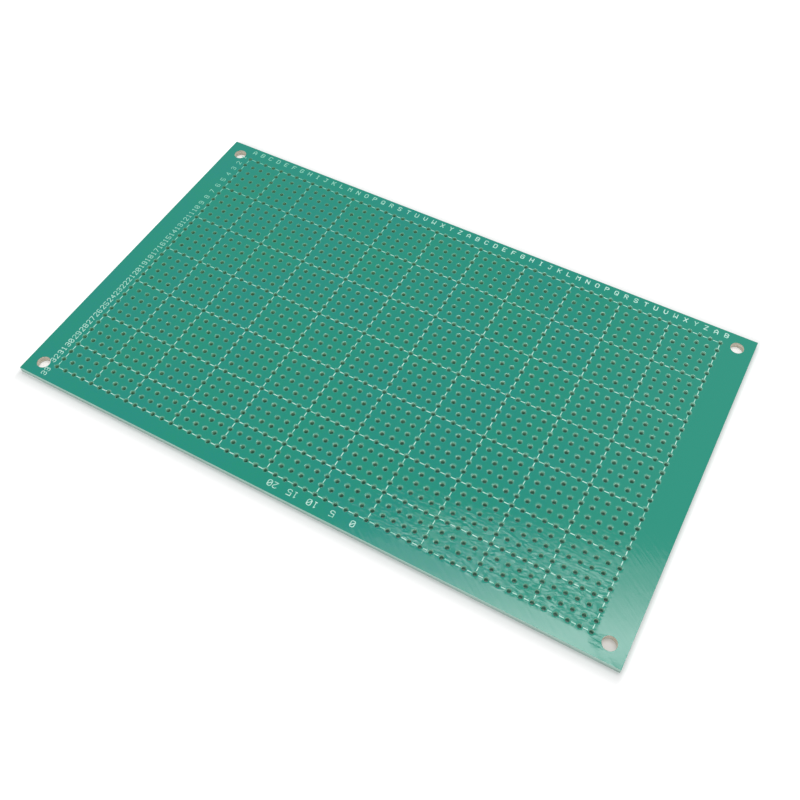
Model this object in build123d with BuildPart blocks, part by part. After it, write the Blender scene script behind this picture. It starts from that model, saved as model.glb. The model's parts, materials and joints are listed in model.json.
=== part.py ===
from build123d import *
from build123d.topology import SkipClean
import os

os.makedirs("parts", exist_ok=True)

# Single-sided prototype circuit board, all sizes in millimetres.
# +X runs along the lettered edge, +Y points to that edge, +Z leaves the component side.
# The solder side lies on Z = 0.

# Board outline
board_length = 150.0
board_width = 90.0

# Stack, from the solder side up
copper_thickness = 0.05
laminate_thickness = 1.5
resist_thickness = 0.05
ink_thickness = 0.02

laminate_level = copper_thickness
resist_level = laminate_level + laminate_thickness
ink_level = resist_level + resist_thickness

# Grid of lead holes: the letters count its columns from the left, the numbers its rows from the back
pitch = 2.54
columns = 54
rows = 33
left_margin = 7.5
lead_hole_radius = 0.5

grid_length = (columns - 1) * pitch
grid_width = (rows - 1) * pitch
grid_centre_x = left_margin + grid_length / 2 - board_length / 2

# Ring pads, and the gap that the resist leaves round each of them
pad_radius = 0.95
pad_relief = 0.06

# Corner holes for M3 screws
mount_hole_radius = 1.6
mount_inset = 3.9
mount_span_x = board_length - 2 * mount_inset
mount_span_y = board_width - 2 * mount_inset

# Printed grid: one dash between each two holes of a ruled column or row
dash_length = 1.05
dash_width = 0.2
ruled_columns = (1, 5, 9, 14, 19, 24, 29, 34, 39, 44, 49, 54)
ruled_rows = (1, 6, 11, 16, 21, 26, 30, 33)
ruled_column_places = [
    (grid_centre_x - grid_length / 2 + (number - 1) * pitch, 0) for number in ruled_columns
]
ruled_row_places = [(grid_centre_x, grid_width / 2 - (number - 1) * pitch) for number in ruled_rows]


def perforated_sheet(opening_radius, thickness, level):
    """A sheet of the board's outline, open at the corner holes and round each lead hole.

    It is a border and one strip for each row. Their joints stay in the flat faces, because
    one face with every opening in it takes minutes to mesh.
    """
    with BuildPart() as strip:
        with BuildSketch(Plane.XY.offset(level)):
            Rectangle(columns * pitch, pitch)
            with GridLocations(pitch, pitch, columns, 1):
                Circle(opening_radius, mode=Mode.SUBTRACT)
        extrude(amount=thickness)

    with SkipClean(), BuildPart() as sheet:
        with BuildSketch(Plane.XY.offset(level)):
            Rectangle(board_length, board_width)
            with Locations((grid_centre_x, 0)):
                Rectangle(columns * pitch, rows * pitch, mode=Mode.SUBTRACT)
            with GridLocations(mount_span_x, mount_span_y, 2, 2):
                Circle(mount_hole_radius, mode=Mode.SUBTRACT)
        extrude(amount=thickness)
        with Locations((grid_centre_x, 0)), GridLocations(pitch, pitch, 1, rows):
            add(strip.part)
    return sheet


# Glass-epoxy sheet, drilled through at every hole
laminate = perforated_sheet(lead_hole_radius, laminate_thickness, laminate_level)
laminate.part.label = "laminate"
export_step(laminate.part, "parts/laminate.step")

# Green resist on the component side, drilled together with the laminate
resist_component_side = perforated_sheet(lead_hole_radius, resist_thickness, resist_level)
resist_component_side.part.label = "resist_component_side"
export_step(resist_component_side.part, "parts/resist_component_side.step")

# Green resist on the solder side, level with the pads and open round each of them
resist_solder_side = perforated_sheet(
    pad_radius + pad_relief, copper_thickness, laminate_level - copper_thickness
)
resist_solder_side.part.label = "resist_solder_side"
export_step(resist_solder_side.part, "parts/resist_solder_side.step")

# Tinned copper ring round each hole, on the solder side only, with no track from pad to pad
with BuildPart() as pad:
    with BuildSketch():
        Circle(pad_radius)
        Circle(lead_hole_radius, mode=Mode.SUBTRACT)
    extrude(amount=copper_thickness)

with SkipClean(), BuildPart() as pad_row:
    with Locations((grid_centre_x, 0)), GridLocations(pitch, pitch, columns, 1):
        add(pad.part)

with SkipClean(), BuildPart() as solder_pads:
    with GridLocations(pitch, pitch, 1, rows):
        add(pad_row.part)
solder_pads.part.label = "solder_pads"
export_step(solder_pads.part, "parts/solder_pads.step")

# White ink on the component side
with SkipClean(), BuildPart() as printed_grid:
    with BuildSketch(Plane.XY.offset(ink_level)):
        with Locations(*ruled_row_places), GridLocations(pitch, pitch, columns - 1, 1):
            Rectangle(dash_length, dash_width)
        with Locations(*ruled_column_places), GridLocations(pitch, pitch, 1, rows - 1):
            Rectangle(dash_width, dash_length)
    extrude(amount=ink_thickness)
printed_grid.part.label = "printed_grid"
export_step(printed_grid.part, "parts/printed_grid.step")
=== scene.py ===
# %% [markdown]
# # A prototype circuit board
# The board is a thin drilled sheet of glass-epoxy laminate. Green solder resist covers both
# sides, the underside carries a tinned ring pad round every hole, and the upper side is
# printed in white ink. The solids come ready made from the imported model. This lesson gives
# each of them its finish, prints the letters and numbers, and lights and frames the board.

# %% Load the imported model
import json
import math

import bpy
from mathutils import Euler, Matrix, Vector


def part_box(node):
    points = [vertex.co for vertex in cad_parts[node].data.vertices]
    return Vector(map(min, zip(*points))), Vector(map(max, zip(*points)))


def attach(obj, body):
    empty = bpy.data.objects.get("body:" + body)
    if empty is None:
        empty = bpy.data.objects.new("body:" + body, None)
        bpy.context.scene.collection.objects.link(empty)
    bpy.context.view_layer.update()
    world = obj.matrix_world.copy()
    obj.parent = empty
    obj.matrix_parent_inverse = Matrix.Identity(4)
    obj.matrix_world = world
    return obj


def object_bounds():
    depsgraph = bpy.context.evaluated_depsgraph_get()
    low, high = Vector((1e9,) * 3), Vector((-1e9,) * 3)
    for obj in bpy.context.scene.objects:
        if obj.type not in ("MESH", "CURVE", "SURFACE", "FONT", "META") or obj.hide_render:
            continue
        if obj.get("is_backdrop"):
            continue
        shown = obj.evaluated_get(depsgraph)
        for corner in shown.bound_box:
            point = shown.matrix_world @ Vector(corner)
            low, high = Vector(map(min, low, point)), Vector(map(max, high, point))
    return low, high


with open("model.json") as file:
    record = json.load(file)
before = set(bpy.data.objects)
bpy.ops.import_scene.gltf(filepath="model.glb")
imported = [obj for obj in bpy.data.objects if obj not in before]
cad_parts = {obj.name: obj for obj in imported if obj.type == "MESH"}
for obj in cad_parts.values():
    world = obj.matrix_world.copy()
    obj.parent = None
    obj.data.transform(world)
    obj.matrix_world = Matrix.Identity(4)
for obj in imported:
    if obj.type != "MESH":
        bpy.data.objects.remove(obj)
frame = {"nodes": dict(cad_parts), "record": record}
cad_box = [list(corner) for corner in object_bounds()]
print("the solids:", ", ".join(sorted(frame["nodes"])))

# %% [markdown]
# ## The hole grid
# Every mark on such a board is set out from its holes. The record names one of them, in
# column 27 and row 17, and the rest follow at the standard pitch of 2.54 mm. Finding the
# first hole once places the grid for every finish below, and lines the letters and numbers
# up with it.

# %% Set out the grid
MM = 0.001
PITCH = 2.54 * MM
COLUMNS = 54
ROWS = 33
KNOWN_COLUMN = 27
KNOWN_ROW = 17
mounts = {mount["name"]: mount for mount in frame["record"]["mounts"]}
known_hole = Vector(mounts["lead_hole"]["pos_m"])
HOLE_RADIUS = mounts["lead_hole"]["dims"]["r_mm"]
from_known = Vector((1 - KNOWN_COLUMN, KNOWN_ROW - 1, 0)) * PITCH
first_hole = Vector((known_hole.x + from_known.x, known_hole.y + from_known.y, 0))
board_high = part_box("resist_component_side")[1]
film_top = board_high.z
ink_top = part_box("printed_grid")[1].z
print(f"hole A1 is at {first_hole.x / MM:.2f}, {first_hole.y / MM:.2f} mm")
print(f"the ink stands {(ink_top - film_top) / MM:.3f} mm above the resist")

# %% [markdown]
# ## Wiring helpers
# A procedural finish is a sum worked out at each point of the surface. Written node by node
# it runs to pages, so two small helpers do the wiring: one feeds a socket from a number or
# from another socket, and the other adds a node, feeds it and hands back its output. The
# rest name the sums that the finishes below use again and again.

# %% Helpers for node trees


def feed(tree, socket, value):
    if isinstance(value, bpy.types.NodeSocket):
        tree.links.new(value, socket)
    else:
        socket.default_value = value


def node(tree, kind, inputs=(), output=0, **settings):
    made = tree.nodes.new(kind)
    for name, value in settings.items():
        setattr(made, name, value)
    named = inputs.items() if isinstance(inputs, dict) else enumerate(inputs)
    for key, value in named:
        feed(tree, made.inputs[key], value)
    return made.outputs[output]


def calc(tree, operation, *values):
    return node(tree, "ShaderNodeMath", values, operation=operation)


def vector_calc(tree, operation, *values, output=0):
    return node(tree, "ShaderNodeVectorMath", values, output, operation=operation)


def ramp(tree, value, low, high, start=0.0, end=1.0):
    """A smooth step of value from low to high."""
    inputs = {"Value": value, "From Min": low, "From Max": high, "To Min": start, "To Max": end}
    return node(tree, "ShaderNodeMapRange", inputs, interpolation_type="SMOOTHSTEP")


def split(tree, vector):
    """The outputs X, Y and Z of a vector."""
    return node(tree, "ShaderNodeSeparateXYZ", [vector]).node.outputs


def in_millimetres(tree, position):
    return vector_calc(tree, "MULTIPLY", position, (1 / MM, 1 / MM, 1 / MM))


def towards_back_left(tree, in_mm):
    """How far back and to the left a place lies, in millimetres: its y less its x."""
    place = split(tree, in_mm)
    return calc(tree, "SUBTRACT", place["Y"], place["X"])


def noise(tree, place, scale, detail, **more):
    inputs = {"Vector": place, "Scale": scale, "Detail": detail, **more}
    return node(tree, "ShaderNodeTexNoise", inputs)


def blend_colours(tree, factor, first, second):
    inputs = {"Factor": factor, 6: first, 7: second}
    return node(tree, "ShaderNodeMix", inputs, 2, data_type="RGBA")


def group(name, inputs, outputs):
    """A new shader node group, with its input and output nodes."""
    tree = bpy.data.node_groups.new(name, "ShaderNodeTree")
    for label, kind in inputs.items():
        tree.interface.new_socket(name=label, in_out="INPUT", socket_type=kind)
    for label, kind in outputs.items():
        tree.interface.new_socket(name=label, in_out="OUTPUT", socket_type=kind)
    given = tree.nodes.new("NodeGroupInput").outputs
    return tree, given, tree.nodes.new("NodeGroupOutput").inputs


def use_group(tree, shared, **inputs):
    placed = tree.nodes.new("ShaderNodeGroup")
    placed.node_tree = shared
    for label, value in inputs.items():
        feed(tree, placed.inputs[label.replace("_", " ")], value)
    return placed.outputs


def rgb(red, green, blue):
    """A colour as a screen shows it, 0 to 255, as the linear colour that a shader needs."""
    shares = [channel / 255 for channel in (red, green, blue)]
    linear = [s / 12.92 if s < 0.04045 else ((s + 0.055) / 1.055) ** 2.4 for s in shares]
    return (*linear, 1.0)


print("helpers ready")

# %% [markdown]
# ## Where the nearest hole is
# The resist pales and rounds down at each hole, and the pads dome up round it. All of these
# finishes need the same measure, the distance to the axis of the nearest hole in
# millimetres, so it is built once, as a group. It rounds a position to the grid and stops at
# the grid's last row and column, which leaves the margins free of it. The side tells the
# back of a hole, 1, from its front, -1. The drilled share is 1 over the whole grid and ends
# just outside it.

# %% Build the hole field
BACK_SIDE = (-0.5, 0.87, 0)
DRILLED_FADES = (0.15, 0.42)
hole_field, given, result = group(
    "hole_field",
    {"Position": "NodeSocketVector"},
    {"Distance": "NodeSocketFloat", "Side": "NodeSocketFloat", "Drilled": "NodeSocketFloat"},
)
from_first = vector_calc(hole_field, "SUBTRACT", given["Position"], first_hole)
in_pitches = vector_calc(hole_field, "MULTIPLY", from_first, (1 / PITCH, 1 / PITCH, 0))
half_on = vector_calc(hole_field, "ADD", in_pitches, (0.5, 0.5, 0))
rounded = vector_calc(hole_field, "FLOOR", half_on)
at_least = vector_calc(hole_field, "MAXIMUM", rounded, (0, 1 - ROWS, 0))
nearest = vector_calc(hole_field, "MINIMUM", at_least, (COLUMNS - 1, 0, 0))
apart = vector_calc(hole_field, "SUBTRACT", in_pitches, nearest)
pitches_away = vector_calc(hole_field, "LENGTH", apart, output=1)
feed(hole_field, result["Distance"], calc(hole_field, "MULTIPLY", pitches_away, PITCH / MM))

direction = vector_calc(hole_field, "NORMALIZE", apart)
side = vector_calc(hole_field, "DOT_PRODUCT", direction, BACK_SIDE, output=1)
feed(hole_field, result["Side"], side)

half_grid = Vector(((COLUMNS - 1) / 2, (ROWS - 1) / 2, 0))
grid_middle = (half_grid.x, -half_grid.y, 0)
from_middle = vector_calc(hole_field, "SUBTRACT", in_pitches, grid_middle)
spread = vector_calc(hole_field, "ABSOLUTE", from_middle)
beyond = split(hole_field, vector_calc(hole_field, "SUBTRACT", spread, half_grid))
outside = calc(hole_field, "MAXIMUM", beyond["X"], beyond["Y"])
feed(hole_field, result["Drilled"], ramp(hole_field, outside, *DRILLED_FADES, 1.0, 0.0))
print("hole_field:", len(hole_field.nodes), "nodes")

# %% [markdown]
# ## Glass cloth
# The laminate is woven glass in epoxy. The weave shows faintly on bare laminate and lifts
# the resist above it a little. Two waves at right angles, each with its own slow wander,
# make such a weave, and one group serves both materials.

# %% Build the glass cloth
CLOTH_THREADS_PER_MM = 2.1
CLOTH_BEND = 0.35
glass_cloth, given, result = group(
    "glass_cloth", {"Position": "NodeSocketVector"}, {"Weave": "NodeSocketFloat"}
)
cloth_at = in_millimetres(glass_cloth, given["Position"])
wander = noise(glass_cloth, cloth_at, 0.7, 2.0).node.outputs["Color"]
bent = vector_calc(glass_cloth, "MULTIPLY_ADD", wander, (CLOTH_BEND, CLOTH_BEND, 0), cloth_at)
threads = []
for direction in ("X", "Y"):
    wave = node(
        glass_cloth,
        "ShaderNodeTexWave",
        {"Vector": bent, "Scale": CLOTH_THREADS_PER_MM / math.tau * 2},
        1,
        bands_direction=direction,
    )
    threads.append(wave)
feed(glass_cloth, result["Weave"], calc(glass_cloth, "MULTIPLY", *threads))
print("glass_cloth:", len(glass_cloth.nodes), "nodes")

# %% [markdown]
# ## A material's frame
# Each finish below starts the same way, with an empty material, one Principled shader and
# the position on the object, so one helper makes them. Two more end it: one turns a height
# into bumps in the light, and one puts the finish on a solid.

# %% Start a material


def new_finish(name):
    material = bpy.data.materials.new(name)
    material.use_nodes = True
    tree = material.node_tree
    shader = tree.nodes["Principled BSDF"]
    position = node(tree, "ShaderNodeTexCoord", output="Object")
    return material, tree, shader, position


def raise_surface(tree, shader, height):
    """Feeds a height in micrometres to the shader's normal."""
    metres = calc(tree, "MULTIPLY", height, 1e-6)
    bump = node(tree, "ShaderNodeBump", {"Height": metres, "Distance": 1.0})
    feed(tree, shader.inputs["Normal"], bump)


def dress(name, material):
    """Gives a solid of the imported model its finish."""
    solid = frame["nodes"][name]
    solid.data.materials.clear()
    solid.data.materials.append(material)
    print(f"{name} is finished in {material.name}")


# %% [markdown]
# ## Green solder resist
# Resist is a glossy film of tinted epoxy, printed wet through a screen. Its green is nearly
# even: a cloudy noise and a speckle turn it bluer in patches, and it pales towards the
# right-hand end. The drill leaves a pale halo round each hole, and a painted highlight on the
# hole's rim is mixed into it. The speckle breaks the halo up. The painted highlight makes it
# strongest on the far side of the hole, and the mix weakens towards the back left-hand
# corner and the near right-hand one.

# %% Mix the resist's colour
RESIST_GREEN = rgb(0, 147, 121)
RESIST_BLUER = rgb(0, 143, 129)
RESIST_PALER = rgb(30, 150, 128)
# the pale drill halo, also used as a painted highlight on the far rim of each hole
RESIST_HALO_AND_HIGHLIGHT = rgb(146, 212, 182)
PALE_FROM, PALE_TO = 30.0, 75.0
HALO_AND_HIGHLIGHT_STRENGTH = 0.7
RIM_RADIUS = 0.84
resist, tree, shader, position = new_finish("green_resist")
field = use_group(tree, hole_field, Position=position)
weave = use_group(tree, glass_cloth, Position=position)["Weave"]
in_mm = in_millimetres(tree, position)
place = split(tree, in_mm)

cloudy = noise(tree, in_mm, 0.06, 3.0)
speckle = noise(tree, in_mm, 1.6, 2.0)
clouds = ramp(tree, cloudy, 0.35, 0.65, 0.0, 0.5)
mottled = calc(tree, "MULTIPLY_ADD", ramp(tree, speckle, 0.3, 0.7), 0.5, clouds)
green = blend_colours(tree, mottled, RESIST_GREEN, RESIST_BLUER)
pale = ramp(tree, place["X"], PALE_FROM, PALE_TO)
green = blend_colours(tree, pale, green, RESIST_PALER)

far_left = towards_back_left(tree, in_mm)
# pale drill halo plus a painted highlight, made stronger on the far side of each hole
halo_and_highlight = ramp(tree, field["Distance"], HOLE_RADIUS, RIM_RADIUS, HALO_AND_HIGHLIGHT_STRENGTH, 0.0)
for share in (
    ramp(tree, speckle, 0.35, 0.65, 0.5, 1.0),
    ramp(tree, field["Side"], -0.7, 0.7, 0.2, 1.0),
    ramp(tree, far_left, 20.0, 110.0, 1.0, 0.35),
    ramp(tree, far_left, -115.0, -60.0, 0.5, 1.0),
):
    halo_and_highlight = calc(tree, "MULTIPLY", halo_and_highlight, share)
feed(tree, shader.inputs["Base Color"], blend_colours(tree, halo_and_highlight, green, RESIST_HALO_AND_HIGHLIGHT))
print("resist coloured")

# %% [markdown]
# ## Ripples in the resist
# The film rounds down to each hole. Between the holes the squeegee leaves shallow ripples
# along the rows. Towards the near right-hand corner they have grown to wrinkles, with a few
# curls beside the corner hole. Slanted streaks, a faint orange peel and the weave below
# cover the whole board. None of them changes the colour, but they break up a lamp's
# reflection, so they are heights and not paint. The ripples are lowered by a half first, so
# that they are level on average and end at the grid's edge without a step.

# %% Raise the ripples, depths in micrometres
RIPPLE_DEPTH = 10.0
WRINKLE_DEPTH = 62.0
PEEL_DEPTH = 4.0
STREAK_DEPTH = 10.0
ROUNDING_DEPTH = 60.0
WEAVE_DEPTH = 0.6
ROUNDING_STARTS = HOLE_RADIUS - 0.06
WRINKLED_TO_RIGHT = (8.0, 40.0)
WRINKLED_TO_FRONT = (-23.0, -35.0)
CURLS_AT = (68.9, -41.6, 0)
CURLS_FADE = (0.8, 2.6)
CURLS_SHARE = 0.7
to_right = ramp(tree, place["X"], *WRINKLED_TO_RIGHT)
to_front = ramp(tree, place["Y"], *WRINKLED_TO_FRONT)
near_corner = calc(tree, "MULTIPLY", to_right, to_front)
wrinkled = calc(tree, "MULTIPLY", near_corner, field["Drilled"])
level_mm = vector_calc(tree, "MULTIPLY", in_mm, (1, 1, 0))
from_curls = vector_calc(tree, "DISTANCE", level_mm, CURLS_AT, output=1)
curled = ramp(tree, from_curls, *CURLS_FADE, CURLS_SHARE, 0.0)
wrinkled = calc(tree, "MAXIMUM", wrinkled, curled)
depth = calc(tree, "MULTIPLY", field["Drilled"], RIPPLE_DEPTH)
depth = calc(tree, "MULTIPLY_ADD", wrinkled, WRINKLE_DEPTH, depth)

along_rows = vector_calc(tree, "MULTIPLY", in_mm, (0.36, 1.0, 0))
ripples = noise(tree, along_rows, 1.8, 0.3, Distortion=0.8)
turn = {"Vector": in_mm, "Angle": math.radians(35)}
slanted = node(tree, "ShaderNodeVectorRotate", turn, rotation_type="Z_AXIS")
streaks = noise(tree, vector_calc(tree, "MULTIPLY", slanted, (0.15, 1.6, 0)), 1.0, 1.0)
peel = noise(tree, in_mm, 0.9, 1.0)
rounding = ramp(tree, field["Distance"], ROUNDING_STARTS, RIM_RADIUS)
height = calc(tree, "MULTIPLY", calc(tree, "SUBTRACT", ripples, 0.5), depth)
for relief, relief_depth in (
    (peel, PEEL_DEPTH),
    (streaks, STREAK_DEPTH),
    (rounding, ROUNDING_DEPTH),
    (weave, WEAVE_DEPTH),
):
    height = calc(tree, "MULTIPLY_ADD", relief, relief_depth, height)
raise_surface(tree, shader, height)
shader.inputs["Roughness"].default_value = 0.07
shader.inputs["IOR"].default_value = 1.43
dress("resist_component_side", resist)
dress("resist_solder_side", resist)

# %% [markdown]
# ## Bare laminate
# The laminate shows on the walls of the holes and along the sawn edges. It is glass in clear
# epoxy, so the sawn edges and the lead holes take a pale green from the resist round them,
# and the walls of the corner holes stay a little brown. A lead hole is painted a deeper green
# downwards, as painted shade inside the hole, and towards the back left a painted light evens
# that out, where more of the lit upper wall shows. A wall that cuts through the cloth shows its
# layers as fine level bands.

# %% Find the laminate's walls and layers
LAYER_BANDS = (0.5, 0.5, 9.0)
WEAVE_TONE = 0.35
laminate, tree, shader, position = new_finish("glass_epoxy")
field = use_group(tree, hole_field, Position=position)
weave = use_group(tree, glass_cloth, Position=position)["Weave"]
in_mm = in_millimetres(tree, position)
level = split(tree, in_mm)["Z"]
layers = noise(tree, vector_calc(tree, "MULTIPLY", in_mm, LAYER_BANDS), 1.0, 3.0)
facing = split(tree, node(tree, "ShaderNodeTexCoord", output="Normal"))
wall = ramp(tree, calc(tree, "ABSOLUTE", facing["Z"]), 0.2, 0.8, 1.0, 0.0)
layer_tone = calc(tree, "MULTIPLY", ramp(tree, layers, 0.35, 0.65), wall)
cloth_tone = ramp(tree, weave, 0.0, 1.0, 0.0, WEAVE_TONE)
weave_tone = calc(tree, "MULTIPLY", cloth_tone, calc(tree, "SUBTRACT", 1.0, wall))
tone = calc(tree, "ADD", layer_tone, weave_tone)
print("laminate:", len(tree.nodes), "nodes so far")

# %% [markdown]
# ## Three kinds of wall
# The sawn edge and the corner holes each have a pair of colours, and the lead holes have
# three. On the sawn edge the second colour also serves as painted shade towards its foot.
# The distance from the board's edge tells the first two apart, and the hole field finds the
# lead holes.

# %% Colour the laminate
EDGE_PALE = rgb(180, 222, 208)
# the edge's layer colour, also used as painted shade at the foot of the edge
EDGE_LAYER_AND_SHADE = rgb(150, 170, 162)
CORNER_PALE = rgb(236, 230, 216)
CORNER_LAYER = rgb(198, 188, 170)
DRILLED_TOP = rgb(190, 228, 208)
# painted shade deep in a lead hole, and painted light on the walls towards the back left
DRILLED_DEEP_SHADE = rgb(124, 182, 164)
DRILLED_LIT_EVENLY = rgb(142, 194, 160)
LAYERS_IN_EDGE = 0.4
EDGE_FOOT_SHADE = 0.6
# painted shade: the sawn edge is painted darker towards its foot
edge_foot_shade = ramp(tree, level, 1.4, 0.3, 0.0, EDGE_FOOT_SHADE)
edge_layers_and_shade = calc(tree, "MULTIPLY_ADD", tone, LAYERS_IN_EDGE, edge_foot_shade)
edge_colour_and_shade = blend_colours(tree, edge_layers_and_shade, EDGE_PALE, EDGE_LAYER_AND_SHADE)
corner_colour = blend_colours(tree, tone, CORNER_PALE, CORNER_LAYER)
# painted shade: a lead hole's wall darkens from its top downwards
lead_colour_and_shade = blend_colours(tree, ramp(tree, level, 1.5, 0.7), DRILLED_TOP, DRILLED_DEEP_SHADE)
# painted light: towards the back left the lead holes' walls are painted evenly lit
lit_evenly = ramp(tree, towards_back_left(tree, in_mm), -70.0, 60.0)
lead_colour_and_shade = blend_colours(tree, lit_evenly, lead_colour_and_shade, DRILLED_LIT_EVENLY)

spread = vector_calc(tree, "ABSOLUTE", in_mm)
from_edge = split(tree, vector_calc(tree, "SUBTRACT", board_high / MM, spread))
inside = ramp(tree, calc(tree, "MINIMUM", from_edge["X"], from_edge["Y"]), 0.5, 1.0)
in_lead_hole = ramp(tree, field["Distance"], 0.75, 0.9, 1.0, 0.0)
colour = blend_colours(tree, inside, edge_colour_and_shade, corner_colour)
colour = blend_colours(tree, in_lead_hole, colour, lead_colour_and_shade)
feed(tree, shader.inputs["Base Color"], colour)
raise_surface(tree, shader, calc(tree, "MULTIPLY", calc(tree, "ADD", layers, weave), 4.0))
shader.inputs["Roughness"].default_value = 0.55
dress("laminate", laminate)

# %% [markdown]
# ## Tinned pads
# Each pad is dipped in solder and blown level, so it is bright, a little uneven, and domed
# between its hole and its rim. The dome comes from the hole field: a height that rises and
# falls again across the width of the ring.

# %% Mix the tinned solder
PAD_MIDDLE = 0.72
PAD_HALF_WIDTH = 0.24
DOME_HEIGHT = 14.0
DENT_DEPTH = 16.0
SOLDER_BRIGHT = rgb(222, 223, 222)
SOLDER_DULL = rgb(196, 197, 198)
solder, tree, shader, position = new_finish("tinned_solder")
field = use_group(tree, hole_field, Position=position)
dents = noise(tree, in_millimetres(tree, position), 1.6, 2.0)
off_middle = calc(tree, "SUBTRACT", field["Distance"], PAD_MIDDLE)
off_middle = calc(tree, "DIVIDE", off_middle, PAD_HALF_WIDTH)
dome = calc(tree, "SUBTRACT", 1.0, calc(tree, "MULTIPLY", off_middle, off_middle))
dome_height = calc(tree, "MULTIPLY", dome, DOME_HEIGHT)
raise_surface(tree, shader, calc(tree, "MULTIPLY_ADD", dents, DENT_DEPTH, dome_height))
tarnished = blend_colours(tree, ramp(tree, dents, 0.35, 0.7), SOLDER_BRIGHT, SOLDER_DULL)
feed(tree, shader.inputs["Base Color"], tarnished)
feed(tree, shader.inputs["Roughness"], ramp(tree, dents, 0.3, 0.7, 0.18, 0.32))
shader.inputs["Metallic"].default_value = 1.0
dress("solder_pads", solder)

# %% [markdown]
# ## White ink
# The ink is a thin matt layer, so the green shines through where the screen left less of
# it. A slow noise turns the white greener in patches, and the ink thins out towards the
# back left-hand corner, where the screen was nearly dry.

# %% Mix the ink
INK_FULL = rgb(206, 247, 234)
INK_THIN = rgb(134, 212, 188)
STARVED_FROM, STARVED_TO = 0.0, 110.0
ink, tree, shader, position = new_finish("white_ink")
in_mm = in_millimetres(tree, position)
coverage = noise(tree, in_mm, 0.8, 3.0)
starved = ramp(tree, towards_back_left(tree, in_mm), STARVED_FROM, STARVED_TO)
thin = calc(tree, "MAXIMUM", ramp(tree, coverage, 0.4, 0.75), starved)
feed(tree, shader.inputs["Base Color"], blend_colours(tree, thin, INK_FULL, INK_THIN))
raise_surface(tree, shader, calc(tree, "MULTIPLY", coverage, 5.0))
shader.inputs["Roughness"].default_value = 0.6
dress("printed_grid", ink)

# %% [markdown]
# ## Letters and numbers as strokes
# The characters are drawn the way a plotter draws them: a pen of constant width follows a
# few straight strokes. Each glyph is written on a grid 4 wide and 6 high, as pairs of
# digits, one pair for each point, with a space where the pen lifts. The letters name the
# columns, the numbers name the rows, and a short scale of millimetres is on the front edge.

# %% Draw the glyphs
ROUND = "100105163645413010"
BOWL = "00063645443303"
GLYPHS = {
    "A": "0004264440 0242",
    "B": BOWL + " 3342413000",
    "C": "4536160501103041",
    "D": "00063645413000",
    "E": "46060040 0333",
    "F": "460600 0333",
    "G": "45361605011030414323",
    "H": "0006 4640 0343",
    "I": "1636 2620 1030",
    "J": "1646 3631201001",
    "K": "0006 4602 1440",
    "L": "060040",
    "M": "0006244640",
    "N": "00064046",
    "O": ROUND,
    "P": BOWL,
    "Q": ROUND + " 2240",
    "R": BOWL + " 2340",
    "S": "453616050413334241301001",
    "T": "0646 2620",
    "U": "060110304146",
    "V": "0602204246",
    "W": "0600224046",
    "X": "0640 0046",
    "Y": "062346 2320",
    "Z": "06460040",
    "0": ROUND + " 0145",
    "1": "152620 1030",
    "2": "05163645440040",
    "3": "051636454433 133342413010 1001",
    "4": "30360242",
    "5": "460603334241301001",
    "6": "4536160501103041423303",
    "7": "064610",
    "8": "13040516364544331302011030414233",
    "9": "0110304145361605041343",
}


def strokes(text, centre, height, width, advance, turn=0.0):
    """The points and lines of a text in millimetres, centred and turned about its centre."""
    points, lines = [], []
    cosine, sine = math.cos(turn), math.sin(turn)
    for index, character in enumerate(text):
        middle = (index - (len(text) - 1) / 2) * advance
        for stroke in GLYPHS.get(character, "").split():
            for step in range(0, len(stroke), 2):
                x = middle + (int(stroke[step]) / 4 - 0.5) * width
                y = (int(stroke[step + 1]) / 6 - 0.5) * height
                if step:
                    lines.append((len(points) - 1, len(points)))
                points.append((centre[0] + x * cosine - y * sine, centre[1] + x * sine + y * cosine))
    return points, lines


print(len(GLYPHS), "glyphs drawn")

# %% [markdown]
# ## The pen
# Geometry Nodes turn the strokes into ink: each line becomes a flat bar, a round dot at
# every point makes the pen's round ends and corners, and a union leaves one closed outline
# for each character. The pen's width, the ink's thickness and the ink are its inputs.

# %% Build the pen
PEN_CORNERS = 12
pen = bpy.data.node_groups.new("ink_pen", "GeometryNodeTree")
sockets = {}
for label, kind in (
    ("Strokes", "NodeSocketGeometry"),
    ("Pen width", "NodeSocketFloat"),
    ("Ink thickness", "NodeSocketFloat"),
    ("Ink", "NodeSocketMaterial"),
):
    sockets[label] = pen.interface.new_socket(name=label, in_out="INPUT", socket_type=kind)
pen.interface.new_socket(name="Print", in_out="OUTPUT", socket_type="NodeSocketGeometry")
pen.is_modifier = True
given = pen.nodes.new("NodeGroupInput").outputs
lone_edges = node(pen, "GeometryNodeSplitEdges", [given["Strokes"]])
lines = node(pen, "GeometryNodeMeshToCurve", [lone_edges])
level_lines = node(pen, "GeometryNodeSetCurveNormal", [lines], mode="Z_UP")
nib = node(
    pen,
    "GeometryNodeCurvePrimitiveQuadrilateral",
    {"Width": given["Pen width"], "Height": given["Ink thickness"]},
)
bars = node(
    pen,
    "GeometryNodeCurveToMesh",
    {"Curve": level_lines, "Profile Curve": nib, "Fill Caps": True},
)
pen_radius = calc(pen, "MULTIPLY", given["Pen width"], 0.5)
dot = node(
    pen,
    "GeometryNodeMeshCylinder",
    {"Vertices": PEN_CORNERS, "Radius": pen_radius, "Depth": given["Ink thickness"]},
)
dots = node(pen, "GeometryNodeInstanceOnPoints", {"Points": given["Strokes"], "Instance": dot})
whole = pen.nodes.new("GeometryNodeMeshBoolean")
whole.operation = "UNION"
whole.solver = "EXACT"
whole.inputs["Self Intersection"].default_value = True
for part in (bars, node(pen, "GeometryNodeRealizeInstances", [dots])):
    pen.links.new(part, whole.inputs["Mesh 2"])
real = node(pen, "GeometryNodeRealizeInstances", [whole.outputs[0]])
inked = node(pen, "GeometryNodeSetMaterial", {"Geometry": real, "Material": given["Ink"]})
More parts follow.
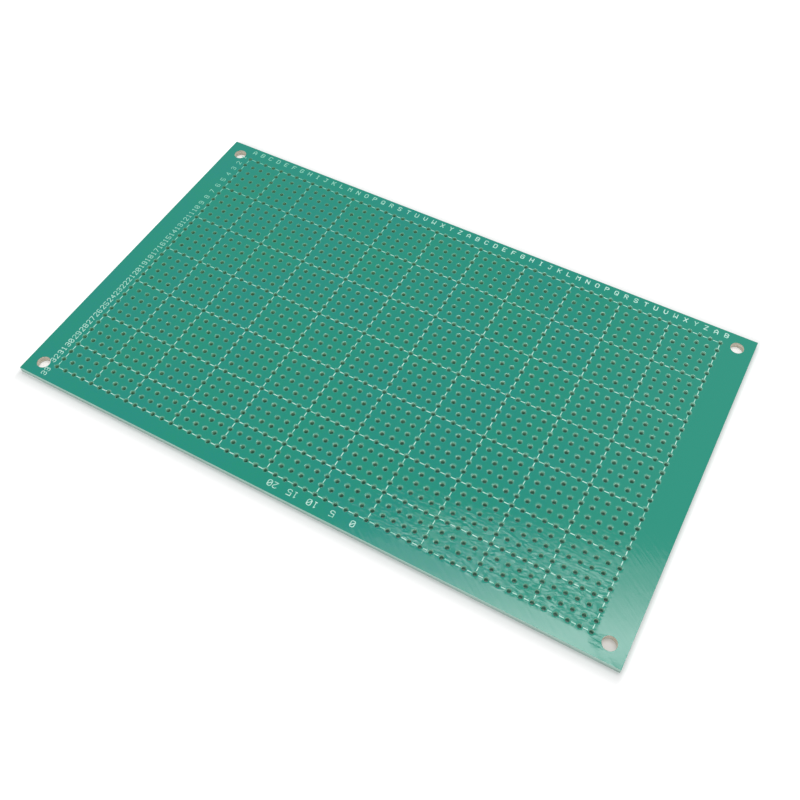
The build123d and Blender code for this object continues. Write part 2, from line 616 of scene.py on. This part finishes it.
feed(pen, pen.nodes.new("NodeGroupOutput").inputs["Print"], inked)
print("ink_pen:", len(pen.nodes), "nodes")

# %% [markdown]
# ## One print, one piece
# The screen lays down each line of print in one pass, so each becomes one piece. Its points
# and lines go into a skeleton at the middle of the ink's height, the pen inks it, and the
# finished mesh takes the skeleton's place.

# %% Print a set of texts with the pen


def print_texts(name, texts, pen_width):
    """One piece of ink from several texts, each given as its points and lines."""
    points, lines = [], []
    ink_middle = (film_top + ink_top) / 2
    for text_points, text_lines in texts:
        lines += [(a + len(points), b + len(points)) for a, b in text_lines]
        points += [(x * MM, y * MM, ink_middle) for x, y in text_points]
    skeleton = bpy.data.meshes.new(name + "_strokes")
    skeleton.from_pydata(points, lines, [])
    piece = bpy.data.objects.new(name, skeleton)
    bpy.context.scene.collection.objects.link(piece)
    modifier = piece.modifiers.new("pen", "NODES")
    modifier.node_group = pen
    modifier[sockets["Pen width"].identifier] = pen_width * MM
    modifier[sockets["Ink thickness"].identifier] = ink_top - film_top
    modifier[sockets["Ink"].identifier] = ink
    view = bpy.context.evaluated_depsgraph_get()
    mesh = bpy.data.meshes.new_from_object(piece.evaluated_get(view))
    piece.modifiers.clear()
    piece.data = mesh
    mesh.name = name
    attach(piece, "root")
    print(f"{name}: {len(texts)} texts, {len(mesh.polygons)} faces")


# %% [markdown]
# ## Column letters
# The letters run A to Z and start again, one for each column. On the real board they were
# set out on a pitch a hair wider than the holes', so they creep to the right along the row.

# %% Print the letters
LETTER_HEIGHT = 1.22
LETTER_WIDTH = 0.84
LETTER_LEVEL = 43.5
LETTER_PITCH = 2.555
LETTER_START = -0.15
LETTER_PEN = 0.23
letters = []
for column in range(COLUMNS):
    character = chr(ord("A") + column % 26)
    x = first_hole.x / MM + LETTER_START + column * LETTER_PITCH
    letters.append(strokes(character, (x, LETTER_LEVEL), LETTER_HEIGHT, LETTER_WIDTH, 0))
print_texts("column_letters", letters, LETTER_PEN)

# %% [markdown]
# ## Row numbers
# The numbers climb the left edge, turned to be read from the right-hand side. They stand as
# close as the rows, so from 10 on they run together in one line of digits. From row 25 on
# they creep a little past their rows, and the last one makes room for the corner hole.

# %% Print the numbers
DIGIT_HEIGHT = 1.28
DIGIT_WIDTH = 0.84
DIGIT_ADVANCE = 1.27
DIGIT_PEN = 0.18
NUMBER_LEVEL = -69.5
NUMBER_SHIFT = 0.1
CREEP_AFTER_ROW = 24
CREEP = 0.09
LAST_NUMBER_PLACE = (-68.95, -42.9)
numbers = []
for row in range(1, ROWS + 1):
    y = first_hole.y / MM - (row - 1) * PITCH / MM - NUMBER_SHIFT
    y -= CREEP * max(0, row - CREEP_AFTER_ROW)
    place = (NUMBER_LEVEL, y) if row < ROWS else LAST_NUMBER_PLACE
    number = strokes(str(row), place, DIGIT_HEIGHT, DIGIT_WIDTH, DIGIT_ADVANCE, math.pi / 2)
    numbers.append(number)
print_texts("row_numbers", numbers, DIGIT_PEN)

# %% [markdown]
# ## A plain scale
# The front margin holds a short line of print, upside down to the letters. Here it is a
# scale of plain numbers, five millimetres apart.

# %% Print the scale
SCALE_LEVEL = -42.8
SCALE_START = 14.2
SCALE_MARKS = 5
SCALE_STEP = 5
SCALE_HEIGHT = 1.4
SCALE_WIDTH = 0.95
SCALE_ADVANCE = 1.4
SCALE_PEN = 0.19
scale_texts = []
for mark in range(SCALE_MARKS):
    reading = SCALE_STEP * mark
    place = (SCALE_START - reading, SCALE_LEVEL)
    text = strokes(str(reading), place, SCALE_HEIGHT, SCALE_WIDTH, SCALE_ADVANCE, math.pi)
    scale_texts.append(text)
print_texts("front_scale", scale_texts, SCALE_PEN)

# %% [markdown]
# ## Floor
# The board lies on a white sweep that is so evenly lit that it runs out to plain white,
# with only a soft shadow along the board's edges. A pale diffuse plane takes the shadow.

# %% Lay the floor
FLOOR_REACH = 3.0
FLOOR_WHITE = (0.92, 0.92, 0.92, 1)
floor_mesh = bpy.data.meshes.new("floor")
outline = ((-1, -1), (1, -1), (1, 1), (-1, 1))
corners = [(x * FLOOR_REACH, y * FLOOR_REACH, 0) for x, y in outline]
floor_mesh.from_pydata(corners, [], [(0, 1, 2, 3)])
floor = bpy.data.objects.new("floor", floor_mesh)
bpy.context.scene.collection.objects.link(floor)
floor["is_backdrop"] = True

paper, tree, shader, position = new_finish("white_sweep")
shader.inputs["Base Color"].default_value = FLOOR_WHITE
shader.inputs["Roughness"].default_value = 0.9
shader.inputs["Specular IOR Level"].default_value = 0.0
floor_mesh.materials.append(paper)
print("floor laid at height 0")

# %% [markdown]
# ## The floor's glow
# A little light of the floor's own, seen only by the camera and in reflections, lifts it to
# white without adding any light to the board. It sets in away from the board, so the shadow
# at the edges stays, and three times as soon at the two ends, where the shadow is narrower.
# It also shows faintly through three of the corner holes, as painted light on the floor that
# the board shades. The front right-hand one and the lead holes stay dark.

# %% Let the floor glow
FLOOR_GLOW = 0.6
GLOW_FULL_AT = 8.0
GLOW_AT_ENDS = 3.0
CORNER_GLOW = 0.25
SHADED_CORNER = 0.0
CORNER_SIZE = 6.0
spread = vector_calc(tree, "ABSOLUTE", position)
beyond = vector_calc(tree, "SUBTRACT", spread, board_high)
beyond = vector_calc(tree, "MULTIPLY", beyond, (1 / MM, 1 / MM, 0))
clear = vector_calc(tree, "MAXIMUM", beyond, (0, 0, 0))
stretched = vector_calc(tree, "MULTIPLY", clear, (GLOW_AT_ENDS, 1, 0))
away = vector_calc(tree, "LENGTH", stretched, output=1)
under_board = ramp(tree, away, 0.0, 0.2, 1.0, 0.0)
within = split(tree, beyond)
corner_x = ramp(tree, within["X"], -CORNER_SIZE - 0.2, -CORNER_SIZE)
corner_y = ramp(tree, within["Y"], -CORNER_SIZE - 0.2, -CORNER_SIZE)
in_corner = calc(tree, "MULTIPLY", corner_x, corner_y)
far_left = towards_back_left(tree, in_millimetres(tree, position))
# painted light: the shaded floor under three corner holes glows, and the front right-hand one stays
# in shade
shaded = ramp(tree, far_left, -80.0, -50.0, SHADED_CORNER, CORNER_GLOW)
corner_glow = calc(tree, "MULTIPLY", calc(tree, "MULTIPLY", in_corner, under_board), shaded)
open_glow = ramp(tree, away, 0.0, GLOW_FULL_AT, 0.0, FLOOR_GLOW)
strength = calc(tree, "ADD", open_glow, corner_glow)
seen = node(tree, "ShaderNodeLightPath").node.outputs
shown = calc(tree, "MAXIMUM", seen["Is Camera Ray"], seen["Is Glossy Ray"])
shining = {"Color": (1, 1, 1, 1), "Strength": calc(tree, "MULTIPLY", shown, strength)}
glow = node(tree, "ShaderNodeEmission", shining)
both = node(tree, "ShaderNodeAddShader", [shader.outputs[0], glow])
feed(tree, tree.nodes["Material Output"].inputs["Surface"], both)
print(f"the floor glows in full from {GLOW_FULL_AT:.0f} mm out")

# %% [markdown]
# ## Light
# The room is an even white, which gives most of the light, and the camera sees it as plain
# white. One lamp hangs behind the board, and its place decides where the resist shines: its
# reflection falls on the near right-hand corner and fades out over the hole grid. It fades
# because the lamp has no hard edge. It is a stack of panels, each of them a little smaller
# than the one below it. They hang at different heights, because the reflections of panels
# in one plane don't add up.

# %% Hang the lamp
LAMP_HEIGHT = 1.0
LAMP_TURN = math.radians(24)
LAMP_WIDTH = 0.7
LAMP_BACK = Vector((-0.023, 0.429, LAMP_HEIGHT))
LAMP_PANELS = ((-0.03, 0.16), (0.015, 0.13), (0.045, 0.115), (0.07, 0.108))
PANEL_GAP = 0.01
PANEL_RADIANCE = 2.3

forward = Vector((math.sin(LAMP_TURN), -math.cos(LAMP_TURN), 0))
for number, (back, front) in enumerate(LAMP_PANELS):
    panel = bpy.data.lights.new(f"lamp_panel_{number + 1}", "AREA")
    panel.shape = "RECTANGLE"
    panel.size = LAMP_WIDTH
    panel.size_y = front - back
    panel.energy = PANEL_RADIANCE * math.pi * panel.size * panel.size_y
    hung = bpy.data.objects.new(panel.name, panel)
    hung.location = LAMP_BACK + forward * (back + front) / 2
    hung.location.z += PANEL_GAP * number
    hung.rotation_euler = Euler((0, 0, LAMP_TURN))
    bpy.context.scene.collection.objects.link(hung)
    print(f"{panel.name}: {panel.energy:.2f} W")

# %% [markdown]
# ## Room
# The world's strength is a little lower for every ray but the camera's own. The background
# then stays white, and the room doesn't wash out the lamp's reflection.

# %% Light the room
ROOM_LIGHT = 0.8
ROOM_SEEN = 1.0
world = bpy.data.worlds.new("room")
bpy.context.scene.world = world
world.use_nodes = True
tree = world.node_tree
seen = node(tree, "ShaderNodeLightPath").node.outputs
strength = ramp(tree, seen["Is Camera Ray"], 0.0, 1.0, ROOM_LIGHT, ROOM_SEEN)
background = tree.nodes["Background"]
background.inputs["Color"].default_value = (1, 1, 1, 1)
feed(tree, background.inputs["Strength"], strength)
print(f"the room gives {ROOM_LIGHT} and shows as {ROOM_SEEN}")

# %% [markdown]
# ## Camera
# The camera stands close, 0.18 m up, 0.07 m in front of the near edge and to the right of
# the middle, so the far left corner recedes strongly. The lens is a little shorter than
# a normal one.

# %% Set the camera
CAMERA_PLACE = Vector((65.81, -115.72, 178.17)) * MM
CAMERA_TURN = (34.247, 0.105, 28.675)
CAMERA_LENS = 41.97
SENSOR_WIDTH = 36.0
camera_data = bpy.data.cameras.new("camera")
camera_data.sensor_width = SENSOR_WIDTH
camera_data.lens = CAMERA_LENS
camera_data.clip_start = 0.005
camera = bpy.data.objects.new("camera", camera_data)
camera.location = CAMERA_PLACE
camera.rotation_euler = Euler([math.radians(angle) for angle in CAMERA_TURN])
bpy.context.scene.collection.objects.link(camera)
bpy.context.scene.camera = camera
bpy.context.scene.view_settings.view_transform = "Standard"
print("camera", [round(value / MM, 1) for value in camera.location], "mm")

# %% [markdown]
# ## Check the size
# The finish must not make the board bigger.

# %% Compare the boxes and finish
visual_box = [list(corner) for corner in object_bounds()]
growth = max(abs(a - b) for low, high in zip(cad_box, visual_box) for a, b in zip(low, high))
print(f"the finish moves the box by {growth / MM:.3f} mm")
